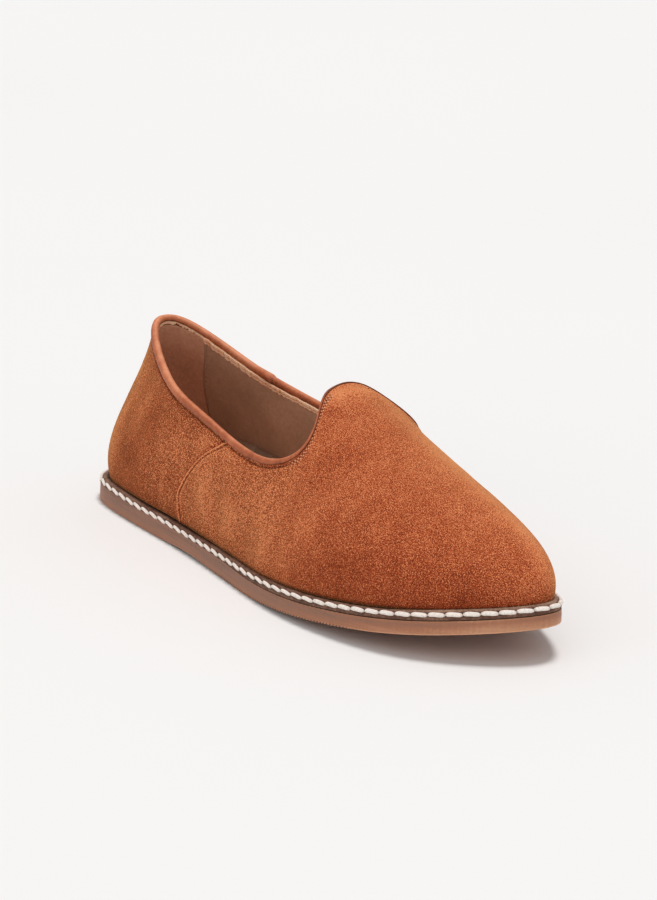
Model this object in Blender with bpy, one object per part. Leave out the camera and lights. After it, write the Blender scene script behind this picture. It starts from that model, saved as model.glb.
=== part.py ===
"""Flat slip-on shoe for the right foot: suede upper, bound topline, stitched welt and rubber outsole.

The toe points along +X, the inner side of the foot is +Y and +Z is up. The shoe stands on z = 0 and
its plan is centred on the origin. Sizes are written in millimetres and become metres in the meshes.
"""

import math
from collections import namedtuple

import bmesh
import bpy
import numpy as np

MM = 0.001

# Driving sizes
LENGTH = 258.0
TOE_TIP_MEDIAL = 12.0
RUBBER_AT_HEEL = 6.2
RUBBER_AT_TOE = 5.3
WELT_THICK = 3.0
WELT_SHOW = 3.8
GAP = 0.3

# Footbed: thin under the toes, raised under the heel with its edge cupped there
INSOLE_THICK = 1.8
INSOLE_HEEL_RISE = 10.5
INSOLE_RISE_END = 40.0
INSOLE_RISE_START = 165.0
INSOLE_CUP = 2.5
INSOLE_CUP_WIDTH = 6.0
INSOLE_EDGE_ROUND = 0.8

# Underside: a flat heel, a slight arch, a flat forefoot and the toe spring
HEEL_FLAT_END = 64.0
FOREFOOT_FLAT_START = 114.0
FOREFOOT_FLAT_END = 138.0
ARCH_LIFT = 0.8
TOE_SPRING = 13.5
SPRING_POWER = 1.5

# Upper wall, with the front panel lapped over the quarter along a slanting side seam
WALL = 1.8
WALL_AT_EDGE = 1.4
EDGE_BAND = 5.0
EDGE_BAND_TOP = 4.0
LAP_STEP = 0.6
SEAM_FOOT_RUN = 0.30
SEAM_TOP_RUN = 0.46
SEAM_BEND = 0.20
SEAM_MIDDLE_RUN = (SEAM_FOOT_RUN + SEAM_TOP_RUN) / 2.0
SEAM_WIDTH = 0.004
SEAM_SPREAD = 0.30
COLLAR_DRIFT = 5.0

# Folded leather binding over the top edge, shallower round the tongue than along the sides
BINDING_THICK = 0.6
BINDING_DEPTH = 2.7
BINDING_DEPTH_AT_TONGUE = 1.2
BINDING_CLEAR = 0.45
TONGUE_FOOT_RUN = 0.46
TONGUE_SIDE_RUN = 0.56
BINDING_ROUND = 0.15
BINDING_SHOULDER = 0.4
BINDING_CREST = 1.2

# Fineness of the meshes, in points along the sole, columns on a side and rows up the wall
SOLE_STATIONS = 52
SIDE_COLUMNS = 54
END_DENSITY = 0.25
WALL_ROWS = 10
FINE_LOOP = 4000
FINE_SECTION = 101
SLOPE_STEP = 0.004
SHARP_EDGE_DEG = 35.0

# Plan of the sole: distance from the heel, and half width on the outer and inner side
Station = namedtuple("Station", "along lateral medial")
OUTLINE = [
    Station(6.5, 21, 19),
    Station(28, 28.8, 29),
    Station(74, 33.1, 33),
    Station(123, 40, 36.5),
    Station(163, 45.5, 40.5),
    Station(192, 44, 40),
    Station(222, 36, 32),
    Station(244, 20, 23),
]

# Edges of the sole's layers, lowest row first: set-in from the plan and height over the underside
EdgeRow = namedtuple("EdgeRow", "inset lift")
OUTSOLE_EDGE = [
    EdgeRow(0.5, 0.0),
    EdgeRow(0.1, 0.3),
    EdgeRow(0.0, 0.9),
]
OUTSOLE_TOP_INSET = 0.2
WELT_EDGE = [
    EdgeRow(0.6, 0.0),
    EdgeRow(0.2, 0.4),
    EdgeRow(0.2, WELT_THICK - 0.8),
    EdgeRow(1.0, WELT_THICK),
]

# Upright sections of the upper, from the heel (run 0) round either side to the toe (run 1).
# Each is a curve from the welt to the top edge: along, half and height place its upper end,
# rise and lean steer it off the welt, reach and fall steer it into the top edge.
Section = namedtuple("Section", "run along half height rise lean reach fall")
SECTIONS = [
    Section(0.00, 18.2, 0, 74.8, 18, 6, 0.19, 25),
    Section(0.10, 23.3, 8.6, 72.7, 18, 5, 0.20, 22),
    Section(0.25, 50, 20.2, 60.3, 19, 3, 0.27, 15),
    Section(0.42, 87.5, 25.9, 52.3, 18.5, 2, 0.32, 10.5),
    Section(0.52, 126.5, 30.3, 48.4, 18.5, 2, 0.40, 10),
    Section(0.62, 148, 27.1, 57, 20, 2, 0.44, 13.5),
    Section(0.74, 142.2, 15.1, 69.7, 22.5, 2, 0.45, 17),
    Section(0.87, 137.8, 7.2, 74.7, 25, 3.5, 0.46, 20.5),
    Section(1.00, 137.7, 0, 76.2, 27, 6.5, 0.45, 25),
]

Finish = namedtuple("Finish", "colour roughness")
RUBBER = Finish((0.36, 0.19, 0.12), 0.55)
WELT_LEATHER = Finish((0.10, 0.06, 0.045), 0.65)
SUEDE = Finish((0.44, 0.15, 0.05), 0.95)
BINDING_LEATHER = Finish((0.36, 0.13, 0.06), 0.5)
INSOLE_LEATHER = Finish((0.42, 0.28, 0.19), 0.6)


def smooth(t):
    """0 below t = 0, 1 above t = 1, with a soft change between."""
    t = np.clip(t, 0.0, 1.0)
    return t * t * (3.0 - 2.0 * t)


def closed_spline(knots, values, at):
    """A closed cubic spline: values at knots, the last knot being the first one again."""
    step = np.diff(knots)
    count = len(step)
    values = np.asarray(values, float)[:count]
    slope = (np.roll(values, -1, 0) - values) / step[:, None]
    matrix = np.zeros((count, count))
    for i in range(count):
        before = step[i - 1]
        matrix[i, i - 1] += before
        matrix[i, i] += 2.0 * (before + step[i])
        matrix[i, (i + 1) % count] += step[i]
    bend = np.linalg.solve(matrix, 6.0 * (slope - np.roll(slope, 1, 0)))
    at = (np.asarray(at) - knots[0]) % (knots[-1] - knots[0]) + knots[0]
    i = np.clip(np.searchsorted(knots, at, side="right") - 1, 0, count - 1)
    h = step[i][:, None]
    a = (knots[i + 1] - at)[:, None] / h
    b = 1.0 - a
    j = (i + 1) % count
    curve = (a**3 - a) * bend[i] + (b**3 - b) * bend[j]
    return a * values[i] + b * values[j] + curve * h * h / 6.0


def outline_loop():
    """The sole's plan as a fine closed loop, heel first, then the outer side, toe and inner side."""
    lateral = [(s.along, -s.lateral) for s in OUTLINE]
    medial = [(s.along, s.medial) for s in reversed(OUTLINE)]
    corners = np.array([(0, 0), *lateral, (LENGTH, TOE_TIP_MEDIAL), *medial, (0, 0)], float)
    chords = np.linalg.norm(np.diff(corners, axis=0), axis=1)
    knots = np.concatenate([[0.0], np.cumsum(chords)])
    at = np.linspace(0.0, knots[-1], FINE_LOOP, endpoint=False)
    return closed_spline(knots, corners, at)


def outward(loop):
    """Unit normals of a closed plan loop that runs heel, outer side, toe, inner side."""
    along = np.roll(loop, -1, 0) - np.roll(loop, 1, 0)
    along /= np.linalg.norm(along, axis=1)[:, None]
    return np.column_stack([along[:, 1], -along[:, 0]])


def inset(loop, distance):
    """The loop drawn in by a distance."""
    return loop - outward(loop) * distance


def two_sides(loop):
    """The loop's outer and inner side, each from the rearmost point to the foremost one."""
    loop = np.roll(loop, -loop[:, 0].argmin(), 0)
    toe = loop[:, 0].argmax()
    return loop[: toe + 1], np.vstack([loop[toe:], loop[:1]])[::-1]


PLAN = outline_loop()
CENTRE = (PLAN.min(0) + PLAN.max(0)) / 2.0


def spring(along):
    """Lift of the toe."""
    ahead = np.clip((along - FOREFOOT_FLAT_END) / (LENGTH - FOREFOOT_FLAT_END), 0.0, None)
    return TOE_SPRING * ahead**SPRING_POWER


def tread(along):
    """Height of the underside."""
    arch = np.clip((along - HEEL_FLAT_END) / (FOREFOOT_FLAT_START - HEEL_FLAT_END), 0.0, 1.0)
    return spring(along) + ARCH_LIFT * np.sin(math.pi * arch) ** 2


def rubber_top(along):
    """Height of the outsole's upper face."""
    return spring(along) + RUBBER_AT_HEEL + (RUBBER_AT_TOE - RUBBER_AT_HEEL) * along / LENGTH


def welt_top(along):
    """Height of the welt's upper face."""
    return rubber_top(along) + GAP + WELT_THICK


def placed(points):
    """Millimetres from the heel to metres about the origin."""
    points = np.array(points, float)
    points[:, :2] -= CENTRE
    return points * MM


def solid(name, rings, faces, finish):
    """One closed mesh from rings of points and the faces that join them, given as (ring, index) corners."""
    mesh = bpy.data.meshes.new(name)
    shape = bmesh.new()
    corners = [[shape.verts.new(point) for point in placed(ring)] for ring in rings]
    for face in faces:
        shape.faces.new([corners[ring][index] for ring, index in face])
    bmesh.ops.recalc_face_normals(shape, faces=shape.faces)
    shape.to_mesh(mesh)
    shape.free()
    mesh.shade_smooth()
    mesh.set_sharp_from_angle(angle=math.radians(SHARP_EDGE_DEG))
    material = bpy.data.materials.new(name)
    material.use_nodes = True
    shader = material.node_tree.nodes["Principled BSDF"]
    shader.inputs["Base Color"].default_value = (*finish.colour, 1.0)
    shader.inputs["Roughness"].default_value = finish.roughness
    shader.inputs["Metallic"].default_value = 0.0
    mesh.materials.append(material)
    bpy.context.scene.collection.objects.link(bpy.data.objects.new(name, mesh))


def band(lower, upper, count):
    """Faces between two closed rings of the same number of points."""
    return [
        [(lower, k), (lower, (k + 1) % count), (upper, (k + 1) % count), (upper, k)] for k in range(count)
    ]


def plate_ring(distance, height):
    """Heel, outer side, toe, inner side of the plan set in by distance, at matching stations."""
    sides = two_sides(inset(PLAN, distance))
    first, last = sides[0][0], sides[0][-1]
    swing = (1.0 - np.cos(math.pi * np.arange(1, SOLE_STATIONS) / SOLE_STATIONS)) / 2.0
    along = first[0] + (last[0] - first[0]) * swing
    lateral, medial = (np.column_stack([along, np.interp(along, *side.T)]) for side in sides)
    ring = np.vstack([first, lateral, last, medial[::-1]])
    return np.column_stack([ring, height(ring[:, 0])])


def plate_cap(ring):
    """Strips across the plate, each between two stations, so every strip is flat."""
    count = 2 * SOLE_STATIONS
    strips = [[(ring, 0), (ring, 1), (ring, count - 1)]]
    for k in range(1, SOLE_STATIONS - 1):
        strips.append([(ring, k), (ring, k + 1), (ring, count - k - 1), (ring, count - k)])
    strips.append([(ring, SOLE_STATIONS - 1), (ring, SOLE_STATIONS), (ring, SOLE_STATIONS + 1)])
    return strips


def plate(name, levels, finish):
    """A sole layer from levels of (inset from the plan, height as a function of along), lowest first."""
    rings = [plate_ring(distance, height) for distance, height in levels]
    faces = plate_cap(0) + plate_cap(len(rings) - 1)
    for k in range(len(rings) - 1):
        faces += band(k, k + 1, 2 * SOLE_STATIONS)
    solid(name, rings, faces, finish)


def raised(height, by):
    """A height function lifted by an amount."""
    return lambda along: height(along) + by


def edge_levels(edge, underside):
    """An edge table as (inset, height function) levels over an underside."""
    return [(row.inset, raised(underside, row.lift)) for row in edge]


def outsole():
    """Rubber with a bevelled tread edge and a plain side."""
    rows = edge_levels(OUTSOLE_EDGE, tread) + [(OUTSOLE_TOP_INSET, rubber_top)]
    plate("outsole", rows, RUBBER)


def welt():
    """Leather mid layer whose rim shows all round and carries the stitching."""
    plate("welt", edge_levels(WELT_EDGE, raised(rubber_top, GAP)), WELT_LEATHER)


def heel_share(along):
    """How far the footbed is raised: 1 under the heel, 0 under the toes."""
    return smooth((INSOLE_RISE_START - along) / (INSOLE_RISE_START - INSOLE_RISE_END))


def footbed(along):
    """Height of the footbed's middle."""
    return welt_top(along) + GAP + INSOLE_THICK + INSOLE_HEEL_RISE * heel_share(along)


def footbed_rim(along):
    """Height of the footbed's edge."""
    return footbed(along) + INSOLE_CUP * heel_share(along)


def insole():
    """Footbed with its sock, clear of the wall all round."""
    clear = WELT_SHOW + WALL + GAP
    rows = [
        (clear, raised(welt_top, GAP)),
        (clear, raised(footbed_rim, -INSOLE_EDGE_ROUND)),
        (clear + INSOLE_EDGE_ROUND, footbed_rim),
        (clear + INSOLE_CUP_WIDTH, footbed),
    ]
    plate("insole", rows, INSOLE_LEATHER)


FEATHER = two_sides(inset(PLAN, WELT_SHOW))
STEER = Section._fields[1:]


def section_columns(run):
    """The section table read at any run of the closed tour 0 to 2: heel, outer side, toe, inner side."""
    tour = [s.run for s in SECTIONS] + [2.0 - s.run for s in reversed(SECTIONS[:-1])]
    outer = [s._replace(half=-s.half) for s in SECTIONS]
    rows = np.array([s[1:] for s in outer + SECTIONS[-2::-1]], float)
    return dict(zip(STEER, closed_spline(np.array(tour), rows, run).T))


def feather(run):
    """Plan point where the upper meets the welt, at each run of the tour."""
    point = np.empty((len(run), 2))
    for side, mask in enumerate((run <= 1.0, run > 1.0)):
        path = FEATHER[side]
        walk = np.concatenate([[0.0], np.cumsum(np.linalg.norm(np.diff(path, axis=0), axis=1))])
        part = (run if side == 0 else 2.0 - run)[mask] * walk[-1]
        point[mask] = np.column_stack([np.interp(part, walk, path[:, k]) for k in range(2)])
    return point


def foot(run):
    """That point with its outward direction."""
    along = feather((run + SLOPE_STEP) % 2.0) - feather((run - SLOPE_STEP) % 2.0)
    along /= np.linalg.norm(along, axis=1)[:, None]
    return feather(run), np.column_stack([along[:, 1], -along[:, 0]])


def skin(run, up):
    """Points of the upper's outer surface: run round the shoe, up from 0 at the welt to 1 at the edge."""
    run = run % 2.0
    c = section_columns(run)
    base, away = foot(run)
    low = np.column_stack([base, welt_top(base[:, 0]) + GAP])
    top = np.column_stack([c["along"], c["half"] + COLLAR_DRIFT * c["along"] / LENGTH, c["height"]])
    first = low + np.column_stack([away * c["lean"][:, None], c["rise"]])
    second = top + np.column_stack([(low - top)[:, :2] * c["reach"][:, None], -c["fall"]])
    t = np.asarray(up)[:, None]
    s = 1.0 - t
    return s**3 * low + 3 * s * s * t * first + 3 * s * t * t * second + t**3 * top


def facing(run, up):
    """Outward unit normals of the skin."""
    across = skin(run + SLOPE_STEP, up) - skin(run - SLOPE_STEP, up)
    along = skin(run, np.minimum(up + SLOPE_STEP, 1.0)) - skin(run, np.maximum(up - SLOPE_STEP, 0.0))
    normal = np.cross(across, along)
    return normal / np.linalg.norm(normal, axis=1)[:, None]


def column_runs():
    """Runs of the columns on one side, closer at heel and toe, with a pair of them on the seam."""
    even = np.linspace(0.0, 1.0, SIDE_COLUMNS + 1)
    run = even - END_DENSITY * np.sin(2.0 * math.pi * even) / (2.0 * math.pi)
    ahead = int(np.searchsorted(run, SEAM_MIDDLE_RUN))
    run[ahead - 1] = SEAM_MIDDLE_RUN - SEAM_WIDTH / 2.0
    run[ahead] = SEAM_MIDDLE_RUN + SEAM_WIDTH / 2.0
    return run, ahead


def seam_run(share):
    """Where the seam lies at each share of the wall's height: upright, then slanting forward."""
    slant = np.clip((share - SEAM_BEND) / (1.0 - SEAM_BEND), 0.0, 1.0)
    return SEAM_FOOT_RUN + (SEAM_TOP_RUN - SEAM_FOOT_RUN) * (slant + smooth(slant)) / 2.0


def column_tour():
    """The columns all the way round: run on their own side, which side, and lap of the front panel."""
    side, ahead = column_runs()
    one_side = np.concatenate([side, side[-2:0:-1]])
    is_inner = np.arange(len(one_side)) > SIDE_COLUMNS
    lap = np.where(one_side >= side[ahead], LAP_STEP, 0.0)
    return one_side, is_inner, lap


def slanted(one_side, is_inner, share):
    """Runs of the columns at shares of the height, shifted near the seam so that two of them follow it."""
    hold = smooth(1.0 - np.abs(one_side - SEAM_MIDDLE_RUN) / SEAM_SPREAD)
    run = one_side + (seam_run(share) - SEAM_MIDDLE_RUN) * hold
    return np.where(is_inner, 2.0 - run, run)


def climbs(run):
    """Even steps of up, and the distance up the skin at each of them, one row for each column."""
    up = np.linspace(0.0, 1.0, FINE_SECTION)
    path = skin(np.repeat(run, FINE_SECTION), np.tile(up, len(run))).reshape(len(run), FINE_SECTION, 3)
    steps = np.linalg.norm(np.diff(path, axis=1), axis=2)
    return up, np.column_stack([np.zeros(len(run)), np.cumsum(steps, axis=1)])


def wall_frame(one_side, is_inner, share):
    """Skin points and outward normals of all columns at shares of their height."""
    run = slanted(one_side, is_inner, share)
    even, climb = climbs(run)
    up = np.array([np.interp(part * walk[-1], walk, even) for part, walk in zip(share, climb)])
    return skin(run, up), facing(run, up)


def edge_share(one_side, is_inner, depth):
    """Share of the height at a depth below the top edge, for each column."""
    _, climb = climbs(slanted(one_side, is_inner, np.ones(len(one_side))))
    return 1.0 - depth / climb[:, -1]


def edge_frame(one_side, is_inner, depth):
    """Points and normals at a depth below the top edge."""
    return wall_frame(one_side, is_inner, edge_share(one_side, is_inner, depth))


def closed_sweep(name, rings, finish):
    """A ring-shaped solid whose rings follow each other round its profile."""
    faces = []
    for k in range(len(rings)):
        faces += band(k, (k + 1) % len(rings), len(rings[0]))
    solid(name, rings, faces, finish)


def upper():
    """Hollow suede wall, open at the collar and underneath, with the lap of the front panel as a step."""
    one_side, is_inner, lap = column_tour()
    band_foot = edge_share(one_side, is_inner, EDGE_BAND)
    outer, inner = [], []
    for row in range(WALL_ROWS):
        point, away = wall_frame(one_side, is_inner, band_foot * row / (WALL_ROWS - 1))
        outer.append(point + away * lap[:, None])
        inner.append(point - away * WALL)
    for depth in (EDGE_BAND_TOP, 0.0):
        point, away = edge_frame(one_side, is_inner, depth)
        outer.append(point)
        inner.append(point - away * WALL_AT_EDGE)
    closed_sweep("upper", outer + inner[::-1], SUEDE)


def topline_binding():
    """Leather strip folded over the wall's top edge, as a channel swept round the collar."""
    one_side, is_inner, _ = column_tour()
    face = BINDING_CLEAR + BINDING_THICK
    back = -WALL_AT_EDGE - face
    middle = -WALL_AT_EDGE / 2.0
    at_tongue = smooth((one_side - TONGUE_FOOT_RUN) / (TONGUE_SIDE_RUN - TONGUE_FOOT_RUN))
    flank = BINDING_DEPTH + (BINDING_DEPTH_AT_TONGUE - BINDING_DEPTH) * at_tongue
    edge, away = edge_frame(one_side, is_inner, 0.0)
    near, _ = edge_frame(one_side, is_inner, 1.0)
    upright = edge - near
    upright -= away * (upright * away).sum(1)[:, None]
    upright /= np.linalg.norm(upright, axis=1)[:, None]
    # Profile of the channel: distance out of the wall, share of the flank's depth, lift above the edge
    profile = [
        (face, 1.0, 0.0),
        (face + BINDING_ROUND, 0.5, 0.0),
        (face - BINDING_ROUND, 0.0, BINDING_SHOULDER),
        (middle + BINDING_CREST / 2, 0.0, face),
        (middle - BINDING_CREST / 2, 0.0, face),
        (back + BINDING_ROUND, 0.0, BINDING_SHOULDER),
        (back - BINDING_ROUND, 0.5, 0.0),
        (back, 1.0, 0.0),
        (back + BINDING_THICK, 1.0, 0.0),
        (back + BINDING_THICK, 0.5, 0.0),
        (back + BINDING_THICK, 0.0, BINDING_CLEAR),
        (BINDING_CLEAR, 0.0, BINDING_CLEAR),
        (BINDING_CLEAR, 0.5, 0.0),
        (BINDING_CLEAR, 1.0, 0.0),
    ]
    rings = []
    for out, share, lift in profile:
        point, normal = edge_frame(one_side, is_inner, flank * share)
        rings.append(point + normal * out + upright * lift)
    closed_sweep("topline_binding", rings, BINDING_LEATHER)


def main():
    for old in list(bpy.data.objects):
        bpy.data.objects.remove(old, do_unlink=True)
    outsole()
    welt()
    insole()
    upper()
    topline_binding()


main()
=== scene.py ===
"""Looks of the flat slip-on shoe: napped suede, linings, bound topline, stitched welt and rubber sole.

Sizes are in millimetres from the back of the heel: x runs to the toe, y to the inner side of the
foot and z up. The shoe's surfaces repeat the driving sizes of its solids and are drawn more finely.
"""

import math
from collections import namedtuple

import bpy
import numpy as np
from mathutils import Matrix, Vector, noise


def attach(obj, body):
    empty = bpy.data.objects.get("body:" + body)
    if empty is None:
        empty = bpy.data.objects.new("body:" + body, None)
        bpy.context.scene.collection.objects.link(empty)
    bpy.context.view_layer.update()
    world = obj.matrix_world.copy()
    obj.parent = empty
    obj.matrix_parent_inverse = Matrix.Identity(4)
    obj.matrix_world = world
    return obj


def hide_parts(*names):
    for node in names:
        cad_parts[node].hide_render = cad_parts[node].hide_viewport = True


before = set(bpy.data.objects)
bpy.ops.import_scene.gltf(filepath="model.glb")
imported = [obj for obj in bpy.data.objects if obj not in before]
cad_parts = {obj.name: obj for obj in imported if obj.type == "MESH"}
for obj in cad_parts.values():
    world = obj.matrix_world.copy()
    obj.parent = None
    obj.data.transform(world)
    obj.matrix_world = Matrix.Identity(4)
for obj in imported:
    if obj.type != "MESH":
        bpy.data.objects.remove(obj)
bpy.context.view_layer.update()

MM = 0.001
BODY = "root"


def smooth(t):
    """0 below t = 0, 1 above t = 1, with a soft change between."""
    t = np.clip(t, 0, 1)
    return t * t * (3 - 2 * t)


class Fade(namedtuple("Fade", "size start end")):
    """A value that changes softly from 0 at start to its size at end."""

    def __call__(self, at):
        return self.size * smooth((at - self.start) / (self.end - self.start))


# Sizes of the sole, as in the solids
LENGTH = 258
TOE_TIP_MEDIAL = 12
RUBBER_AT_HEEL = 6.2
RUBBER_AT_TOE = 5.3
WELT_THICK = 3
WELT_SHOW = 3.8
GAP = 0.3
INSOLE_THICK = 1.8
INSOLE_HEEL_RISE = 10.5
INSOLE_RISE = Fade(1, 165, 40)
INSOLE_CUP = Fade(2.5, 6, 0)
HEEL_FLAT_END = 64
FOREFOOT_FLAT_START = 114
FOREFOOT_FLAT_END = 138
ARCH_LIFT = 0.8
TOE_SPRING = 13.5
SPRING_POWER = 1.5

# Sizes of the upper, as in the solids
WALL = 1.8
EDGE_BAND = 5
LAP_STEP = 0.6
SEAM_FOOT_RUN = 0.30
SEAM_TOP_RUN = 0.46
SEAM_MIDDLE_RUN = (SEAM_FOOT_RUN + SEAM_TOP_RUN) / 2
SEAM_BEND = 0.20
SEAM_SPREAD = 0.30
COLLAR_DRIFT = 5

# Fineness of the meshes
FINE_LOOP = 4000
FINE_SECTION = 61
SLOPE_STEP = 0.004
SIDE_COLUMNS = 230
END_DENSITY = 0.25
SEAM_FINE_BEHIND = 0.012
SEAM_FINE_AHEAD = 0.020
SEAM_FINE_STEP = 0.0007
WALL_ROWS = 100
RIM_COLUMNS = 900

Station = namedtuple("Station", "along lateral medial")
OUTLINE = [
    Station(6.5, 21, 19),
    Station(28, 28.8, 29),
    Station(74, 33.1, 33),
    Station(123, 40, 36.5),
    Station(163, 45.5, 40.5),
    Station(192, 44, 40),
    Station(222, 36, 32),
    Station(244, 20, 23),
]

Section = namedtuple("Section", "run along half height rise lean reach fall")
SECTIONS = [
    Section(0, 18.2, 0, 74.8, 18, 6, 0.19, 25),
    Section(0.1, 23.3, 8.6, 72.7, 18, 5, 0.2, 22),
    Section(0.25, 50, 20.2, 60.3, 19, 3, 0.27, 15),
    Section(0.42, 87.5, 25.9, 52.3, 18.5, 2, 0.32, 10.5),
    Section(0.52, 126.5, 30.3, 48.4, 18.5, 2, 0.4, 10),
    Section(0.62, 148, 27.1, 57, 20, 2, 0.44, 13.5),
    Section(0.74, 142.2, 15.1, 69.7, 22.5, 2, 0.45, 17),
    Section(0.87, 137.8, 7.2, 74.7, 25, 3.5, 0.46, 20.5),
    Section(1, 137.7, 0, 76.2, 27, 6.5, 0.45, 25),
]

# Depth of the binding below the top edge on its outer and inner face, round the whole collar
Depth = namedtuple("Depth", "run outer inner")
BINDING_DEPTHS = [
    Depth(0, 1.8, 1.3),
    Depth(0.06, 2.3, 1.4),
    Depth(0.15, 2.5, 2),
    Depth(0.44, 2.7, 2.8),
    Depth(0.5, 2.3, 2.7),
    Depth(0.56, 1.7, 2.2),
    Depth(0.62, 1.6, 2),
    Depth(0.68, 2.1, 2),
    Depth(0.76, 1.6, 1.8),
    Depth(0.86, 0.9, 1.6),
    Depth(0.95, 0.5, 1.5),
    Depth(1.1, 0.35, 1.5),
    Depth(1.36, 0.5, 1.8),
    Depth(1.44, 0.9, 1.8),
    Depth(1.5, 2, 1.9),
    Depth(1.56, 2.7, 1.9),
    Depth(1.74, 2.6, 1.9),
    Depth(1.85, 2.5, 1.6),
    Depth(1.94, 2.3, 1.3),
    Depth(2, 1.8, 1.3),
]

# Camera of the photograph, from the back of the heel
CAMERA_AT = (1315.85, -874.46, 489.58)
CAMERA_RIGHT = (0.58658, 0.80934, 0.02998)
CAMERA_UP = (-0.24938, 0.14528, 0.95745)
CAMERA_BACK = (0.77054, -0.56909, 0.28705)
CAMERA_LENS = 161.8
CAMERA_SENSOR = 36


# Shape of the shoe


def bell(distance, width):
    """A soft bump of height 1 about distance 0."""
    return np.exp(-((distance / width) ** 2))


def closed_spline(knots, values, at):
    """A closed cubic spline through values at knots; the last knot is the first one again."""
    step = np.diff(knots)
    count = len(step)
    values = np.asarray(values, float)[:count]
    slope = (np.roll(values, -1, 0) - values) / step[:, None]
    matrix = np.zeros((count, count))
    for i in range(count):
        matrix[i, [i - 1, i, (i + 1) % count]] = step[i - 1], 2 * (step[i - 1] + step[i]), step[i]
    bend = np.linalg.solve(matrix, 6 * (slope - np.roll(slope, 1, 0)))
    at = (np.asarray(at) - knots[0]) % (knots[-1] - knots[0]) + knots[0]
    i = np.clip(np.searchsorted(knots, at, side="right") - 1, 0, count - 1)
    h = step[i][:, None]
    a = (knots[i + 1] - at)[:, None] / h
    b = 1 - a
    j = (i + 1) % count
    curve = (a**3 - a) * bend[i] + (b**3 - b) * bend[j]
    return a * values[i] + b * values[j] + curve * h * h / 6


def walked(path):
    """Distance along a path at each of its points."""
    return np.concatenate([[0], np.cumsum(np.linalg.norm(np.diff(path, axis=0), axis=1))])


def read_at(at, walk, path):
    """Points of a path at distances along it."""
    return np.column_stack([np.interp(at, walk, axis) for axis in path.T])


def unit(vectors):
    """Vectors of length 1."""
    return vectors / np.linalg.norm(vectors, axis=1)[:, None]


def outline_loop():
    """The sole's plan as a fine loop: heel, outer side, toe, inner side."""
    lateral = [(s.along, -s.lateral) for s in OUTLINE]
    medial = [(s.along, s.medial) for s in reversed(OUTLINE)]
    corners = np.array([(0, 0), *lateral, (LENGTH, TOE_TIP_MEDIAL), *medial, (0, 0)], float)
    knots = walked(corners)
    return closed_spline(knots, corners, np.linspace(0, knots[-1], FINE_LOOP, endpoint=False))


def outward(loop):
    """Outward unit normals of such a loop."""
    along = unit(np.roll(loop, -1, 0) - np.roll(loop, 1, 0))
    return np.column_stack([along[:, 1], -along[:, 0]])


def inset(loop, distance):
    """The loop drawn in by a distance."""
    return loop - outward(loop) * distance


def two_sides(loop):
    """The loop's outer and inner side, each from heel to toe."""
    loop = np.roll(loop, -loop[:, 0].argmin(), 0)
    toe = loop[:, 0].argmax()
    return loop[: toe + 1], np.vstack([loop[toe:], loop[:1]])[::-1]


PLAN = outline_loop()
CENTRE = (PLAN.min(0) + PLAN.max(0)) / 2
FEATHER = two_sides(inset(PLAN, WELT_SHOW))
FEATHER_WALK = [walked(path) for path in FEATHER]
SIDE_SPAN = FEATHER_WALK[0][-1]
STEER = Section._fields[1:]


def placed(points):
    """Millimetres from the heel to metres about the origin."""
    points = np.array(points, float)
    points[..., :2] -= CENTRE
    return points * MM


def spring(along):
    """Lift of the toe."""
    ahead = np.clip((along - FOREFOOT_FLAT_END) / (LENGTH - FOREFOOT_FLAT_END), 0, None)
    return TOE_SPRING * ahead**SPRING_POWER


def tread(along):
    """Height of the underside."""
    arch = np.clip((along - HEEL_FLAT_END) / (FOREFOOT_FLAT_START - HEEL_FLAT_END), 0, 1)
    return spring(along) + ARCH_LIFT * np.sin(math.pi * arch) ** 2


def rubber_top(along):
    """Height of the outsole's upper face."""
    return spring(along) + RUBBER_AT_HEEL + (RUBBER_AT_TOE - RUBBER_AT_HEEL) * along / LENGTH


def welt_foot(along):
    """Height of the welt's lower face."""
    return rubber_top(along) + GAP


def welt_top(along):
    """Height of the welt's upper face."""
    return welt_foot(along) + WELT_THICK


def section_columns(run):
    """The section table read at runs of the tour: 0 heel, 1 toe, 2 heel again."""
    tour = [s.run for s in SECTIONS] + [2 - s.run for s in reversed(SECTIONS[:-1])]
    outer = [s._replace(half=-s.half) for s in SECTIONS]
    rows = np.array([s[1:] for s in outer + SECTIONS[-2::-1]], float)
    return dict(zip(STEER, closed_spline(np.array(tour), rows, run).T))


def feather(run):
    """Plan point where the upper meets the welt."""
    point = np.empty((len(run), 2))
    for side, mask in enumerate((run <= 1, run > 1)):
        part = (run if side == 0 else 2 - run)[mask] * FEATHER_WALK[side][-1]
        point[mask] = read_at(part, FEATHER_WALK[side], FEATHER[side])
    return point


def foot(run):
    """That point with its outward direction."""
    along = unit(feather((run + SLOPE_STEP) % 2) - feather((run - SLOPE_STEP) % 2))
    return feather(run), np.column_stack([along[:, 1], -along[:, 0]])


def skin(run, up):
    """The upper's outer surface, up from 0 at the welt to 1 at the edge."""
    run = run % 2
    c = section_columns(run)
    base, away = foot(run)
    low = np.column_stack([base, welt_top(base[:, 0]) + GAP])
    top = np.column_stack([c["along"], c["half"] + COLLAR_DRIFT * c["along"] / LENGTH, c["height"]])
    first = low + np.column_stack([away * c["lean"][:, None], c["rise"]])
    second = top + np.column_stack([(low - top)[:, :2] * c["reach"][:, None], -c["fall"]])
    t = np.asarray(up)[:, None]
    s = 1 - t
    return s**3 * low + 3 * s * s * t * first + 3 * s * t * t * second + t**3 * top


def facing(run, up):
    """Outward unit normals of the skin."""
    across = skin(run + SLOPE_STEP, up) - skin(run - SLOPE_STEP, up)
    along = skin(run, np.minimum(up + SLOPE_STEP, 1)) - skin(run, np.maximum(up - SLOPE_STEP, 0))
    return unit(np.cross(across, along))


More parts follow.
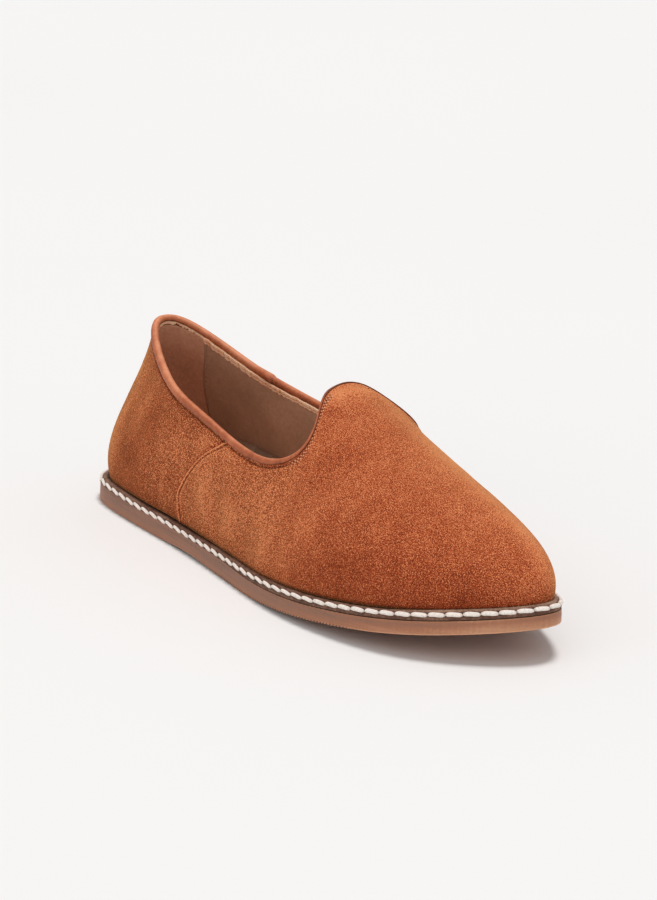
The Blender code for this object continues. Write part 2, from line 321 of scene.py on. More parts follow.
class Wall:
    """Columns of the skin, read by distance up or down."""

    def __init__(self, run):
        self.run = run
        self.up = np.linspace(0, 1, FINE_SECTION)
        path = skin(np.repeat(run, FINE_SECTION), np.tile(self.up, len(run)))
        path = path.reshape(len(run), FINE_SECTION, 3)
        steps = np.linalg.norm(np.diff(path, axis=1), axis=2)
        self.climb = np.column_stack([np.zeros(len(run)), np.cumsum(steps, axis=1)])
        self.height = self.climb[:, -1]

    def above(self, rise):
        """Points and outward normals at distances up the wall."""
        rise = np.broadcast_to(rise, len(self.run))
        up = np.array([np.interp(r, climb, self.up) for r, climb in zip(rise, self.climb)])
        return skin(self.run, up), facing(self.run, up)

    def below(self, depth):
        """The same at distances below the top edge."""
        return self.above(self.height - depth)

    def upright(self):
        """Directions that lead on upwards out of the top edge."""
        edge, away = self.below(0)
        rise = edge - self.below(1)[0]
        return unit(rise - away * (rise * away).sum(1)[:, None])


def own_side(run):
    """Run on the column's own side, 0 at the heel and 1 at the toe."""
    return 1 - np.abs(1 - run % 2)


def binding_depth(run, face):
    """Depth of the binding's outer or inner face below the top edge."""
    depths = [getattr(depth, face) for depth in BINDING_DEPTHS]
    return np.interp(run % 2, [depth.run for depth in BINDING_DEPTHS], depths)


def waver(places, pace, seed):
    """Smooth random values about 0 along a path, pace turns to the millimetre."""
    return np.array([noise.noise(Vector((s * pace, seed, 0.5 * seed))) for s in places])


def waves(points, rows):
    """Smooth random relief over a surface, from (height, turns to the millimetre) rows."""
    total = np.zeros(len(points))
    for height, pace in rows:
        total += height * np.array([noise.noise(Vector(point) * pace) for point in points])
    return total


# Meshes


def carry(mesh, name, values):
    """Gives each point of a mesh a named value for its finish."""
    values = np.asarray(values, np.float32)
    mesh.attributes.new(name, "FLOAT", "POINT").data.foreach_set("value", values)


def added(name, data):
    """A new object in the scene."""
    made = bpy.data.objects.new(name, data)
    bpy.context.scene.collection.objects.link(made)
    return made


def piece(name, points, faces, finish, node=None, tone=None, sharp=None):
    """One mesh that rides on the shoe's body, with its finish and tone."""
    mesh = bpy.data.meshes.new(name)
    mesh.from_pydata(placed(points).tolist(), [], [list(face) for face in faces])
    mesh.shade_smooth()
    if sharp is not None:
        mesh.set_sharp_from_angle(angle=math.radians(sharp))
    carry(mesh, "tone", np.zeros(len(points)) if tone is None else tone)
    mesh.validate()
    mesh.materials.append(finish)
    made = added(name, mesh)
    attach(made, BODY)
    if node is not None:
        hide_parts(node)
    return made


def ring_faces(rings, columns, closed):
    """Quads between rings of points, and back to the first ring when closed."""
    k = np.arange(columns)
    after = (k + 1) % columns
    faces = []
    for r in range(rings if closed else rings - 1):
        low, high = r * columns, (r + 1) % rings * columns
        faces.append(np.column_stack([low + k, low + after, high + after, high + k]))
    return np.vstack(faces)


def band(name, rings, tones, finish, node=None, sharp=None):
    """A closed piece from rings of points with their tones."""
    faces = ring_faces(len(rings), len(rings[0]), True)
    return piece(name, np.vstack(rings), faces, finish, node, np.concatenate(tones), sharp)


def shell(front, back):
    """Points and faces of a closed sheet between two grids."""
    rows, columns = front.shape[:2]
    points = np.vstack([front.reshape(-1, 3), back.reshape(-1, 3)])
    at = np.arange(rows * columns).reshape(rows, columns)
    quads = []
    for grid, turn in ((at, 1), (at + rows * columns, -1)):
        corners = [grid[:-1, :-1], grid[:-1, 1:], grid[1:, 1:], grid[1:, :-1]][::turn]
        quads.append(np.stack(corners, -1).reshape(-1, 4))
    rim = np.concatenate([at[0, :-1], at[:-1, -1], at[-1, :0:-1], at[:0:-1, 0]])
    after = np.roll(rim, -1)
    quads.append(np.column_stack([after, rim, rim + rows * columns, after + rows * columns]))
    return points, np.vstack(quads)


# Materials

Leather = namedtuple("Leather", "dark mid light gloss relief")
LEATHERS = {
    "binding_leather": Leather((0.09, 0.022, 0.009), (0.47, 0.12, 0.044), (0.8, 0.31, 0.155), 0.5, 0.05),
    "front_lining": Leather((0.28, 0.145, 0.09), (0.49, 0.26, 0.16), (0.7, 0.42, 0.27), 0.6, 0.05),
    "heel_lining": Leather((0.36, 0.16, 0.09), (0.66, 0.31, 0.185), (0.85, 0.53, 0.35), 0.9, 0.15),
    "raw_edge": Leather((0.42, 0.16, 0.075), (0.96, 0.47, 0.26), (1, 0.72, 0.48), 0.9, 0.15),
    "sock_leather": Leather((0.28, 0.165, 0.1), (0.52, 0.33, 0.22), (0.7, 0.49, 0.35), 0.6, 0.05),
}
GLOSS_BELOW = 0.08
GLOSS_ABOVE = 0.12
Yarn = namedtuple("Yarn", "dark light")
YARNS = {
    "rust_thread": Yarn((0.06, 0.014, 0.005), (0.22, 0.058, 0.02)),
    "tongue_thread": Yarn((0.3, 0.1, 0.045), (0.92, 0.46, 0.27)),
    # The needle holes' colour is painted shade in the holes
    "needle_hole_shade": Yarn((0.05, 0.012, 0.005), (0.14, 0.03, 0.012)),
    "tan_thread": Yarn((0.16, 0.09, 0.06), (0.4, 0.25, 0.17)),
    "pale_thread": Yarn((0.4, 0.3, 0.24), (0.96, 0.88, 0.81)),
}


class Graph:
    """A material's nodes, with short calls for the kinds used here."""

    def __init__(self, name):
        self.material = bpy.data.materials.new(name)
        self.material.use_nodes = True
        self.tree = self.material.node_tree
        self.shader = self.tree.nodes["Principled BSDF"]
        self.place = self.tree.nodes.new("ShaderNodeTexCoord").outputs["Object"]

    def set(self, socket, value):
        """Links an output to a socket, or sets its value."""
        if isinstance(value, bpy.types.NodeSocket):
            self.tree.links.new(value, socket)
        else:
            socket.default_value = value

    def fill(self, node, inputs):
        """Links or sets a node's inputs by label."""
        for label, value in inputs.items():
            self.set(node.inputs[label.replace("_", " ")], value)

    def node(self, kind, output, **inputs):
        """One output of a new node with given inputs."""
        made = self.tree.nodes.new("ShaderNode" + kind)
        self.fill(made, inputs)
        return made.outputs[output]

    def noise(self, scale, detail=2, stretch=(1, 1, 1), twist=0):
        """Noise about 0.5 with scale cells to the metre."""
        place = self.node("Mapping", "Vector", Vector=self.place, Scale=stretch)
        return self.node("TexNoise", "Fac", Vector=place, Scale=scale, Detail=detail, Distortion=twist)

    def cells(self, scale):
        """Distance to the nearest of scattered cell centres."""
        return self.node("TexVoronoi", "Distance", Vector=self.place, Scale=scale)

    def carried(self, name):
        """A value that the mesh carries at its points."""
        made = self.tree.nodes.new("ShaderNodeAttribute")
        made.attribute_name = name
        return made.outputs["Fac"]

    def scaled(self, total, share, gain):
        """total plus gain times share."""
        made = self.tree.nodes.new("ShaderNodeMath")
        made.operation = "MULTIPLY_ADD"
        for socket, value in zip(made.inputs, (share, gain, total)):
            self.set(socket, value)
        return made.outputs[0]

    def blend(self, *terms):
        """0.5 plus the mesh's tone and (share, gain) terms about 0.5."""
        total = 0.5 - 0.5 * sum(gain for _, gain in terms)
        for share, gain in terms:
            total = self.scaled(total, share, gain)
        return self.scaled(total, self.carried("tone"), 1)

    def ramp(self, share, *stops):
        """Colour by share, from (share, colour) stops."""
        made = self.tree.nodes.new("ShaderNodeValToRGB")
        line = made.color_ramp.elements
        line[0].position = stops[0][0]
        line[1].position = stops[-1][0]
        for position, _ in stops[1:-1]:
            line.new(position)
        for element, (_, colour) in zip(line, stops):
            element.color = (*colour, 1)
        self.set(made.inputs["Fac"], share)
        return made.outputs["Color"]

    def range(self, share, low, high):
        """A share of 0 to 1 spread from low to high."""
        return self.node("MapRange", "Result", Value=share, To_Min=low, To_Max=high)

    def bump(self, *reliefs):
        """A normal from (height, depth in millimetres) reliefs."""
        below = {}
        for height, depth in reliefs:
            normal = self.node("Bump", "Normal", Height=height, Distance=depth * MM, **below)
            below = {"Normal": normal}
        return normal

    def finish(self, colour, roughness, normal, **constants):
        """Wires the shader; constants are set on its own sockets."""
        inputs = dict(Base_Color=colour, Roughness=roughness, Normal=normal, **constants)
        self.fill(self.shader, inputs)
        return self.material


def suede_finish():
    """Rust suede: speckled nap, brushed patches and a warm sheen."""
    g = Graph("suede")
    grain = g.noise(3100, detail=1, stretch=(0.8, 1, 1))
    side_grain = g.noise(2500, detail=1, stretch=(0.5, 1, 1))
    fibre = g.noise(1300, detail=2, twist=0.6)
    brushed = g.noise(130, detail=3, stretch=(1, 1, 0.4), twist=0.5)
    cloud = g.noise(34, detail=3)
    share = g.blend((grain, 3.2), (fibre, 0.25), (brushed, 0.4), (cloud, 0.5))
    share = g.scaled(share, g.scaled(-0.5, side_grain, 1), g.carried("nap_and_grazing_light"))
    colour = g.ramp(
        share,
        (0, (0.17, 0.029, 0.009)),
        (0.15, (0.235, 0.04, 0.012)),
        (0.35, (0.375, 0.064, 0.02)),
        (0.6, (0.55, 0.112, 0.039)),
        (1, (0.85, 0.31, 0.128)),
    )
    normal = g.bump((cloud, 0.5), (fibre, 0.2), (grain, 0.3))
    return g.finish(
        colour,
        0.95,
        normal,
        Specular_IOR_Level=0.1,
        Sheen_Weight=0.8,
        Sheen_Roughness=0.3,
        Sheen_Tint=(1, 0.55, 0.2, 1),
    )


def leather_finish(name):
    """Grained leather with faint clouds and a varied gloss."""
    g = Graph(name)
    dark, mid, light, gloss, relief = LEATHERS[name]
    cells = g.cells(1300)
    cloud = g.noise(60, detail=4)
    fine = g.noise(700, detail=3)
    colour = g.ramp(g.blend((cloud, 0.7), (fine, 0.45)), (0, dark), (0.5, mid), (1, light))
    roughness = g.range(fine, gloss - GLOSS_BELOW, gloss + GLOSS_ABOVE)
    normal = g.bump((cells, relief), (fine, relief))
    return g.finish(colour, roughness, normal, Specular_IOR_Level=0.3)


def welt_finish():
    """Dark grainy leather board."""
    g = Graph("welt_leather")
    fine = g.noise(900, detail=3)
    along = g.noise(180, detail=3, stretch=(1, 1, 4))
    colour = g.ramp(
        g.blend((fine, 1), (along, 0.6)),
        (0, (0.02, 0.01, 0.006)),
        (0.5, (0.15, 0.068, 0.042)),
        (1, (0.36, 0.22, 0.15)),
    )
    normal = g.bump((along, 0.12), (fine, 0.15))
    return g.finish(colour, g.range(fine, 0.6, 0.85), normal, Specular_IOR_Level=0.3)


def thread_finish(name):
    """Twisted sewing thread."""
    g = Graph(name)
    yarn = YARNS[name]
    ply = g.noise(1600, detail=2)
    colour = g.ramp(g.blend((ply, 0.7)), (0, yarn.dark), (0.55, yarn.light))
    return g.finish(colour, 0.8, g.bump((ply, 0.12)), Specular_IOR_Level=0.2)


def rubber_finish():
    """Gum rubber, faintly streaked along its side."""
    g = Graph("gum_rubber")
    speck = g.noise(1100, detail=2)
    cloud = g.noise(30, detail=3)
    streak = g.noise(60, detail=3, stretch=(0.6, 0.6, 14))
    colour = g.ramp(
        g.blend((speck, 0.2), (cloud, 0.2), (streak, 0.3)),
        (0, (0.09, 0.042, 0.028)),
        (0.25, (0.3, 0.148, 0.096)),
        (0.5, (0.435, 0.178, 0.094)),
        (1, (0.8, 0.43, 0.25)),
    )
    return g.finish(
        colour,
        g.range(speck, 0.45, 0.65),
        g.bump((streak, 0.06), (speck, 0.05)),
        Specular_IOR_Level=0.35,
        Subsurface_Weight=0.08,
        Subsurface_Scale=0.002,
        Subsurface_Radius=(1, 0.5, 0.25),
    )


# Suede upper

# Creases and brushed patches, given one by one: run round the shoe and rise above the welt of the
# middle, half length and half width, turn from the shoe's length, height of the ridge or trough, and
# tone
# Their tones are partly the suede's own brushed patches and partly painted light: painted highlights on
# crease ridges, painted shade in their troughs and low on the vamp, and painted sheen along edges seen
# at a slant.
Mark = namedtuple("Mark", "run rise long wide turn height tone")
MARKS = [
    # Painted sheen along the heel's outer edge
    Mark(0.092, 26, 20, 3, 62, 0, 0.3),
    Mark(0.159, 30, 16, 3, 60, 0, 0.1),
    Mark(0.1, 13, 12, 4, 75, 0, 0.24),
    Mark(0.154, 15, 9, 6, 0, 0, -0.28),
    Mark(0.205, 32, 13, 6, 35, 0, -0.14),
    Mark(0.3, 31, 9, 5, 50, 0, 0.2),
    # Crease ridges and troughs: painted highlights on the ridges, painted shade in the troughs
    Mark(0.235, 12, 7, 1.4, 80, 0.2, 0.08),
    Mark(0.246, 11, 7, 1.6, 80, -0.2, -0.08),
    Mark(0.257, 11, 7, 1.4, 80, 0.25, 0.26),
    Mark(0.325, 10, 8, 4, 85, -0.3, -0.12),
    Mark(0.405, 41, 10, 6, 30, 0, 0.3),
    Mark(0.4, 24, 12, 5, 100, 0, 0.18),
    Mark(0.382, 17, 11, 4, 115, 0.4, 0.16),
    Mark(0.42, 14, 9, 3.5, 90, -0.3, -0.1),
    Mark(0.46, 14, 8, 5, 100, 0.35, 0.26),
    Mark(0.505, 10, 7, 4, 80, -0.35, -0.18),
    Mark(0.554, 9.7, 7, 4, 70, 0.3, 0.22),
    Mark(0.546, 28.6, 14, 9, 0, 0, 0.06),
    # Painted shade low on the vamp, where it curves in towards the sole
    Mark(0.65, 11, 15, 9, 0, 0, -0.12),
    Mark(0.73, 10, 16, 11, 0, 0, -0.16),
    Mark(0.8, 9, 16, 11, 0, 0, -0.14),
    Mark(0.88, 7, 14, 9, 0, 0, -0.1),
    Mark(0.718, 39.5, 22, 6, 65, 0.4, 0.09),
    Mark(0.73, 35.5, 14, 5, 65, -0.4, -0.1),
    Mark(0.79, 61, 12, 9, 0, 0, -0.1),
    Mark(0.81, 95, 10, 5, 0, 0, -0.1),
    # Painted sheen on the tongue's top and the vamp's far side, and painted light over the inner side
    Mark(1, 131.5, 20, 5, 90, 0, 0.5),
    Mark(1.19, 82, 16, 7, 0, 0, 0.25),
    Mark(1.019, 33, 25, 5, -3, 0, 0.42),
    Mark(1.11, 59, 28, 11, 2, 0, 0.38),
    Mark(1.09, 66, 26, 16, 0, 0, 0.2),
    Mark(1.25, 40, 40, 25, 0, 0, 0.14),
    Mark(1.5, 11, 8, 4, 80, 0.3, 0.06),
    Mark(1.54, 13, 8, 4, 100, -0.3, -0.06),
    Mark(1.62, 17, 11, 4, 115, 0.35, 0.06),
    Mark(1.74, 12, 7, 2, 80, 0.25, 0.08),
]
MARK_DEPTH = 14

# Ridges and grooves along the front panel's lapped edge, by distance ahead of the seam; the tones paint
# shade in the groove behind the edge and in the stitched groove, and highlights on the lip and the ridge
# ahead
SEAM_STITCH_AHEAD = 1.4
Ridge = namedtuple("Ridge", "ahead width height tone")
LAP_RIDGES = [
    Ridge(-0.4, 0.45, -0.4, 0),
    Ridge(-0.35, 0.35, 0, -0.45),
    Ridge(0.45, 0.45, 0, 0.8),
    Ridge(0.5, 0.4, 0.2, 0),
    Ridge(SEAM_STITCH_AHEAD, 0.35, 0, -0.3),
    Ridge(SEAM_STITCH_AHEAD, 0.4, -0.25, 0),
    Ridge(2.3, 0.5, 0, 0.2),
]
LAP_EDGE = Fade(LAP_STEP, -0.1, 0.3)
LAP_BELOW_TOP = Fade(1, 2.6, 4.6)
SEAM_SLANT = 0.8

SUEDE_THICK = 1
SUEDE_BACK_ROWS = 12
SUEDE_BACK_TONE = -0.2
SUEDE_EDGE_DEPTHS = (4.6, 4.2, 3.8, 3.4, 3, 2.6, 2.2, 1.8, 1.4, 1, 0.5, 0)
SUEDE_WAVES = ((0.12, 0.09), (0.06, 0.21))
# The quarter behind the seam is darker: partly painted shade on the side turned from the light, partly
# the panel's own tone
QUARTER_TONE = Fade(-0.17, 0, -2)
STITCH_BELOW_BINDING = 1.4
SEWN_WIDTH = 0.5
SEWN_DENT = 0.35
# Painted shade along the stitched groove below the binding
SEWN_PAINTED_SHADE = -0.3
SEWN_END = Fade(1, 0.86, 0.8)
# Grain contrast: partly the nap's own speckle, smoother towards the heel and toe, and partly painted
# light, stronger where light grazes the outer side
NAP_AND_GRAZING_LIGHT_OUTSIDE = 3.2
NAP_AND_GRAZING_LIGHT_INSIDE = 0.6
NAP_FROM_HEEL = Fade(1, 0.18, 0.28)
NAP_FROM_TOE = Fade(1, 0.68, 0.52)
# Painted shade low on the upper near the welt, deepest in the crevice where the upper tucks in; the tuck
# and drop are real shape
FOOT_SHADE = Fade(-0.16, 9, 0)
FOOT_TUCK = Fade(0.5, 2.4, 0)
FOOT_DROP = Fade(1, 0.6, 0.4)
CREVICE_PAINTED_SHADE = Fade(-0.6, 1.5, 0)
SHALLOW_HEEL = Fade(0.8, 0.36, 0.22)
SHALLOW_TOE = Fade(0.7, 0.82, 0.96)


def seam_run(share):
    """Run of the seam by share of height: upright, then slanting forward."""
    slant = np.clip((share - SEAM_BEND) / (1 - SEAM_BEND), 0, 1)
    return SEAM_FOOT_RUN + (SEAM_TOP_RUN - SEAM_FOOT_RUN) * (slant + smooth(slant)) / 2


def seam_columns():
    """Columns all the way round, close at the seams: run on their side, and inner or not."""
    even = np.linspace(0, 1, SIDE_COLUMNS + 1)
    run = even - END_DENSITY * np.sin(2 * math.pi * even) / (2 * math.pi)
    fine = SEAM_MIDDLE_RUN + np.arange(-SEAM_FINE_BEHIND, SEAM_FINE_AHEAD, SEAM_FINE_STEP)
    apart = (run < fine[0] - SEAM_FINE_STEP) | (run > fine[-1] + SEAM_FINE_STEP)
    side = np.sort(np.concatenate([run[apart], fine]))
    one_side = np.concatenate([side, side[-2:0:-1]])
    return one_side, np.arange(len(one_side)) >= len(side)


def slanted(one_side, is_inner, share):
    """Runs of the columns at a share of height, following the seam."""
    hold = smooth(1 - np.abs(one_side - SEAM_MIDDLE_RUN) / SEAM_SPREAD)
    run = one_side + (seam_run(share) - SEAM_MIDDLE_RUN) * hold
    return np.where(is_inner, 2 - run, run)


def mark_places():
    """Middle, heading, side and outward direction of each mark."""
    places = []
    for mark in MARKS:
        point, away = Wall(np.array([mark.run])).above(mark.rise)
        out = away[0]
        ahead = np.array([1, 0, 0]) - out * out[0]
        ahead /= np.linalg.norm(ahead)
        rising = np.cross(out, ahead) * (1 if mark.run <= 1 else -1)
        turn = math.radians(mark.turn)
        heading = ahead * math.cos(turn) + rising * math.sin(turn)
        places.append((point[0], heading, np.cross(out, heading), out))
    return places


def marked(points, places):
    """Sums of the marks' heights and tones at points of the upper."""
    height, tone = np.zeros(len(points)), np.zeros(len(points))
    for mark, (middle, heading, side, out) in zip(MARKS, places):
        off = points - middle
        near = bell(off @ heading, mark.long) * bell(off @ side, mark.wide) * bell(off @ out, MARK_DEPTH)
        height += mark.height * near
        tone += mark.tone * near
    return height, tone


def lap_relief(ahead):
    """Height and tone of the lapped edge, by distance ahead of the seam."""
    height = LAP_EDGE(ahead)
    tone = np.zeros(len(ahead))
    for ridge in LAP_RIDGES:
        near = bell(ahead - ridge.ahead, ridge.width)
        height += ridge.height * near
        tone += ridge.tone * near
    return height, tone


def crevice(run):
    """How deep the upper tucks in over the welt, and how much painted shade lies in the crevice: less at
    the heel and toe.
    """
    return 1 - SHALLOW_TOE(own_side(run)) - SHALLOW_HEEL(own_side(run))


def suede_upper(finish):
    """The suede: quarter behind the seam, front panel lapped over it."""
    one_side, is_inner = seam_columns()
    top = Wall(slanted(one_side, is_inner, 1))
    main_part = 1 - EDGE_BAND / top.height
    shares = [main_part * row / WALL_ROWS for row in range(WALL_ROWS + 1)]
    shares += [1 - depth / top.height for depth in SUEDE_EDGE_DEPTHS]
    ahead = (one_side - SEAM_MIDDLE_RUN) * SIDE_SPAN * SEAM_SLANT
    seam_lift, seam_tone = lap_relief(ahead)
    panel_tone = QUARTER_TONE(ahead)
    places = mark_places()
    rings, tones = [], []
    for share in shares:
        wall = Wall(slanted(one_side, is_inner, share))
        rise = wall.height * share
        depth = wall.height - rise
        point, away = wall.above(rise)
        lapped = LAP_BELOW_TOP(depth)
        sewn = bell(depth - binding_depth(wall.run, "outer") - STITCH_BELOW_BINDING, SEWN_WIDTH)
        sewn *= SEWN_END(own_side(wall.run))
        deep = crevice(wall.run)
        tuck = FOOT_TUCK(rise)
        mark_lift, mark_tone = marked(point, places)
        lift = seam_lift * lapped - SEWN_DENT * sewn + mark_lift
        lift += waves(point, SUEDE_WAVES) - deep * tuck
        point[:, 2] -= FOOT_DROP(own_side(wall.run)) * tuck
        rings.append(point + away * lift[:, None])
        tone = seam_tone * lapped + panel_tone + mark_tone + SEWN_PAINTED_SHADE * sewn
        tones.append(tone + FOOT_SHADE(rise) + CREVICE_PAINTED_SHADE(rise) * deep)
    for row in range(SUEDE_BACK_ROWS + 1):
        share = 1 - row / SUEDE_BACK_ROWS
        wall = Wall(slanted(one_side, is_inner, share))
        rise = wall.height * share
        point, away = wall.above(rise)
        rings.append(point - away * (SUEDE_THICK + crevice(wall.run) * FOOT_TUCK(rise))[:, None])
        tones.append(np.full(len(one_side), SUEDE_BACK_TONE))
    made = band("suede_upper", rings, tones, finish, "upper")
    rough = NAP_FROM_HEEL(one_side) * NAP_FROM_TOE(one_side)
    carry(made.data, "nap_and_grazing_light", np.tile(np.where(is_inner, NAP_AND_GRAZING_LIGHT_INSIDE, NAP_AND_GRAZING_LIGHT_OUTSIDE) * rough, len(rings)))


# Binding

BINDING_COLUMNS = 760
BINDING_MIDDLE = -0.7
SWELL_AT_SIDE = Fade(1, 0.7, 1.4)
SWELL_AT_TOP = Fade(1, 0, 0.5)
BINDING_LAP_RUN = 2 - 0.317
BINDING_LAP_BEHIND = Fade(0.5, 0.06, 0)
BINDING_LAP_AHEAD = Fade(1, -0.0025, 0)
BINDING_LAP_EDGE = 0.0024
BINDING_LAP_WIDTH = 0.0036
BINDING_LAP_TONE = -0.2
PUCKER_FINE = 0.4
PUCKER_SWELL = 0.04
PUCKER_SHIFT = 0.08
PUCKER_SHARE = 0.6
PUCKER_TONE = 0.1
# Painted shade on the binding where it thins over the tongue's top
THIN_PAINTED_SHADE = -0.45
# Painted light on the binding's inner face round the heel
HEEL_INNER_PAINTED_LIGHT = Fade(0.25, 0.34, 0.22)
PLUMP_DEPTH = 1.5
THIN_FOLD = 0.45
# The fold tones paint a highlight along the rolled top and shade along the lower edges of both faces
Fold = namedtuple("Fold", "out share lift tone")
BINDING_PROFILE = [
    Fold(0.05, 1, 0, -0.5),
    Fold(0.42, 1.03, 0, -0.35),
    Fold(0.64, 0.94, 0, -0.12),
    Fold(0.75, 0.74, 0, -0.04),
    Fold(0.78, 0.45, 0, -0.04),
    Fold(0.7, 0.2, 0, 0.02),
    Fold(0.56, 0, 0.1, 0.12),
    Fold(0.26, 0, 0.46, 0.24),
    Fold(-0.2, 0, 0.66, 0.28),
    Fold(-0.7, 0, 0.72, 0.18),
    Fold(-1.2, 0, 0.66, 0.05),
    Fold(-1.65, 0, 0.44, -0.05),
    Fold(-1.95, 0, 0.1, -0.1),
    Fold(-2.1, 0.25, 0, -0.12),
    Fold(-2.15, 0.6, 0, -0.18),
    Fold(-2.1, 0.95, 0, -0.45),
    Fold(-1.95, 1.12, 0, -0.7),
    Fold(-1.65, 1.15, 0, -0.7),
    Fold(-1.45, 1.05, 0, -0.5),
    Fold(-1.4, 0.4, 0, -0.5),
    Fold(-1.3, 0, 0.15, -0.5),
    Fold(-0.1, 0, 0.15, -0.5),
    Fold(0, 0.4, 0, -0.5),
    Fold(0, 0.9, 0, -0.5),
]


def collar_binding(finish):
    """Leather strip folded over the top edge and lapped on itself on the inner side."""
    run = np.linspace(0, 2, BINDING_COLUMNS, endpoint=False)
    wall = Wall(run)
    upright = wall.upright()
    outer, inner = binding_depth(run, "outer"), binding_depth(run, "inner")
    plump = np.clip(outer / PLUMP_DEPTH, THIN_FOLD, 1)
    around = walked(wall.below(0)[0])
    pucker = waver(around, pace=0.28, seed=7) + PUCKER_FINE * waver(around, pace=0.9, seed=3)
    behind = run - BINDING_LAP_RUN
    swell = BINDING_LAP_BEHIND(behind) * BINDING_LAP_AHEAD(behind) + PUCKER_SWELL * pucker
    shade = PUCKER_TONE * pucker + THIN_PAINTED_SHADE * (1 - plump)
    shade += BINDING_LAP_TONE * bell(behind + BINDING_LAP_EDGE, BINDING_LAP_WIDTH)
    rings, tones = [], []
    for fold in BINDING_PROFILE:
        is_outer = fold.out > BINDING_MIDDLE
        depth = (outer if is_outer else inner) * fold.share
        point, away = wall.below(depth + PUCKER_SHIFT * pucker * (fold.share > PUCKER_SHARE))
        side = swell * SWELL_AT_SIDE(abs(fold.out - BINDING_MIDDLE))
        out = fold.out * (plump if fold.out > 0 else 1) + (side if is_outer else -side)
        rise = fold.lift * plump + swell * SWELL_AT_TOP(fold.lift)
        rings.append(point + away * out[:, None] + upright * rise[:, None])
        tones.append(fold.tone + shade + (0 if is_outer else HEEL_INNER_PAINTED_LIGHT(own_side(run))))
    band("collar_binding", rings, tones, finish, "topline_binding")


# Linings

LINING_FACE = 1.85
LINING_BACK = 1.15
LINING_TOP = 3.2
LINING_ROWS = 60
LINING_FOOT = 0.6
LINING_WAVES = ((0.15, 0.07), (0.06, 0.21))
FRONT_LINING_STEP = 0.5
FRONT_LINING_FACE = LINING_FACE + FRONT_LINING_STEP
FRONT_LINING_COLUMNS = 380
HEEL_LINING_COLUMNS = 140
HEEL_LINING_RUN = 0.12
HEEL_LINING_TOP_RUN = 0.143
HEEL_LINING_LEAN = Fade(HEEL_LINING_TOP_RUN - HEEL_LINING_RUN, 0.55, 1)
HEEL_LINING_UNDER = 0.02
RAW_EDGE_COLUMNS = 1200
RAW_EDGE_WIDTH = 1
RAW_EDGE_WIDER = 1.5
RAW_EDGE_PROUD = 0.2
RAW_EDGE_STEP = 0.65
RAW_EDGE_NOTCH = 0.25
RAW_EDGE_BELOW = 0.1
RAW_EDGE_ROUGH = 0.3
RAW_EDGE_FRAY = 0.2
RAW_EDGE_RAGGED = 0.5
BINDING_CLEAR = 1.12
RAW_EDGE_FRONT = Fade(1, HEEL_LINING_TOP_RUN - 0.004, HEEL_LINING_TOP_RUN + 0.004)


def heel_line(share):
    """Run of the seam between the linings, by share of height."""
    return HEEL_LINING_RUN + HEEL_LINING_LEAN(share)


def lining_row(wall, share):
    """Points and normals of a wall at a share of the lining's height."""
    return wall.above(LINING_FOOT + (wall.height - LINING_TOP - LINING_FOOT) * share)


def lining_sheet(name, ends, columns, face, finish):
    """A lining panel between two ends that change with height."""
    front, back = [], []
    for row in range(LINING_ROWS + 1):
        share = row / LINING_ROWS
        point, away = lining_row(Wall(np.linspace(*ends(share), columns)), share)
        front.append(point - away * (face + waves(point, LINING_WAVES))[:, None])
        back.append(point - away * LINING_BACK)
    points, faces = shell(np.array(front), np.array(back))
    piece(name, points, faces[:, ::-1], finish)


def raw_edge(finish):
    """Cut edges of the linings below the binding, two of them forward of the heel."""
    run = np.linspace(0, 2, RAW_EDGE_COLUMNS, endpoint=False)
    wall = Wall(run)
    around = walked(wall.below(0)[0])
    rough = waver(around, pace=0.3, seed=1)
    fray = waver(around, pace=1.1, seed=5)
    front = RAW_EDGE_FRONT(own_side(run))
    inward = LINING_FACE + RAW_EDGE_PROUD + RAW_EDGE_STEP * front
    high = binding_depth(run, "inner") * BINDING_CLEAR + RAW_EDGE_BELOW
    high += RAW_EDGE_ROUGH * rough + RAW_EDGE_FRAY * fray
    width = RAW_EDGE_WIDTH + RAW_EDGE_WIDER * front + RAW_EDGE_RAGGED * fray
    # Depth below the edge, distance inward and tone of each ring; the tones paint shade in the notch
    # between the two cut edges
    rows = (
        (high, LINING_BACK, -0.2),
        (high, inward - 0.35, 0),
        (high + 0.12, inward + 0.05 * rough, 0.25),
        (high + width * 0.42, inward + 0.1, 0.1),
        (high + width * 0.5, inward - RAW_EDGE_NOTCH * front, -0.5 * front),
        (high + width * 0.6, inward + 0.1, 0),
        (high + width * 0.9, inward + 0.15, 0.2),
        (high + width, inward - 0.1, -0.1),
        (high + width, LINING_BACK, -0.2),
    )
    rings, tones = [], []
    for depth, inner, tone in rows:
        point, away = wall.below(depth)
        rings.append(point - away * np.broadcast_to(inner, len(run))[:, None])
        tones.append(tone + 0.25 * fray + 0.15 * rough)
    band("lining_edge", rings, tones, finish, sharp=40)


def linings(front_finish, heel_finish, raw_finish):
    """Leather in front, suede round the heel, and their raw cut edges."""

    def front_ends(share):
        return heel_line(share), 2 - heel_line(share)

    def heel_ends(share):
        reach = heel_line(share) + HEEL_LINING_UNDER
        return -reach, reach

    lining_sheet("front_lining", front_ends, FRONT_LINING_COLUMNS, FRONT_LINING_FACE, front_finish)
    lining_sheet("heel_lining", heel_ends, HEEL_LINING_COLUMNS, LINING_FACE, heel_finish)
    raw_edge(raw_finish)


# Threads

